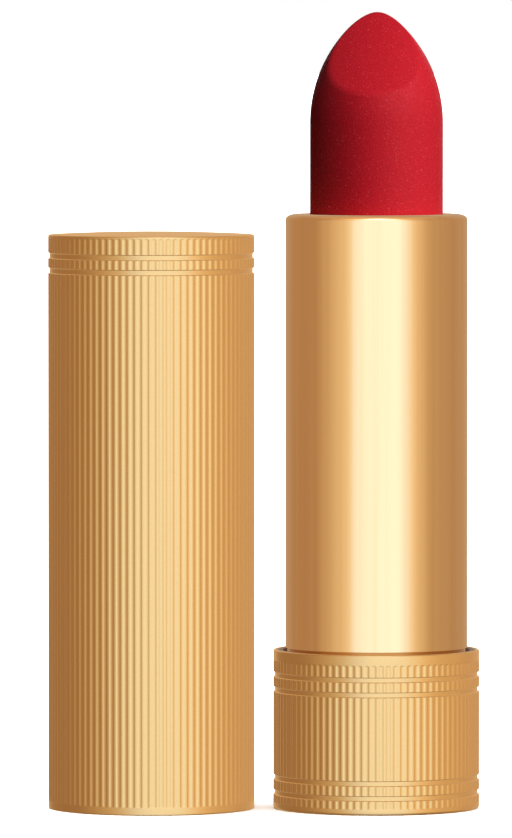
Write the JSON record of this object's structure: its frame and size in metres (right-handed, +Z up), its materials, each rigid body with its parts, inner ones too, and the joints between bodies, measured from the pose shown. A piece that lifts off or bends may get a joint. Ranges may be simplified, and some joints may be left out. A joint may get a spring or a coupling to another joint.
{
  "type": "lipstick case",
  "caption": "Twist-up lipstick in a fluted gold metal case, bullet raised, with its matching cap standing beside it.",
  "frame": {"origin": "on the table, midway between the axis of the lipstick and the axis of its cap", "axes": "+Z up along both axes, +X from the cap to the lipstick, and -Y towards the slanted face of the bullet"},
  "size_m": [0.0412, 0.0196, 0.0761],
  "materials": {
    "satin_gold": "satin",
    "bright_gold": "polished",
    "grey_plastic": "satin",
    "white_plastic": "satin",
    "dark_plastic": "satin",
    "steel_weight": "satin",
    "drag_rubber": "matte",
    "label_paper": "matte",
    "red_wax": "matte"
  },
  "bodies": {
    "base": {"base_shell": "satin_gold", "base_insert": "grey_plastic", "base_weight": "steel_weight", "shade_label": "label_paper", "guide_tube": "white_plastic", "drag_ring": "drag_rubber"},
    "tube": {"tube_shell": "bright_gold", "spiral_sleeve": "white_plastic"},
    "carriage": {"cup": "white_plastic", "bullet": "red_wax"},
    "cap": {"cap_shell": "satin_gold", "cap_liner": "dark_plastic", "cap_weight": "steel_weight"}
  },
  "joints": [
    {"name": "tube_turn", "type": "hinge", "parent": "base", "child": "tube", "pos_m": [0.01075, 0, 0.035], "axis": [0, 0, 1], "range_deg": [0, 540]},
    {"name": "bullet_rise", "type": "slide", "parent": "base", "child": "carriage", "axis": [0, 0, 1], "range_m": [-0.021, 0]},
    {"name": "cap_lift", "type": "slide", "parent": "base", "child": "cap", "axis": [0, 0, 1], "range_m": [0, 0.08]}
  ],
  "couplings": [
    {"joint": "bullet_rise", "follows": "tube_turn", "m_per_rad": -0.0022282}
  ]
}
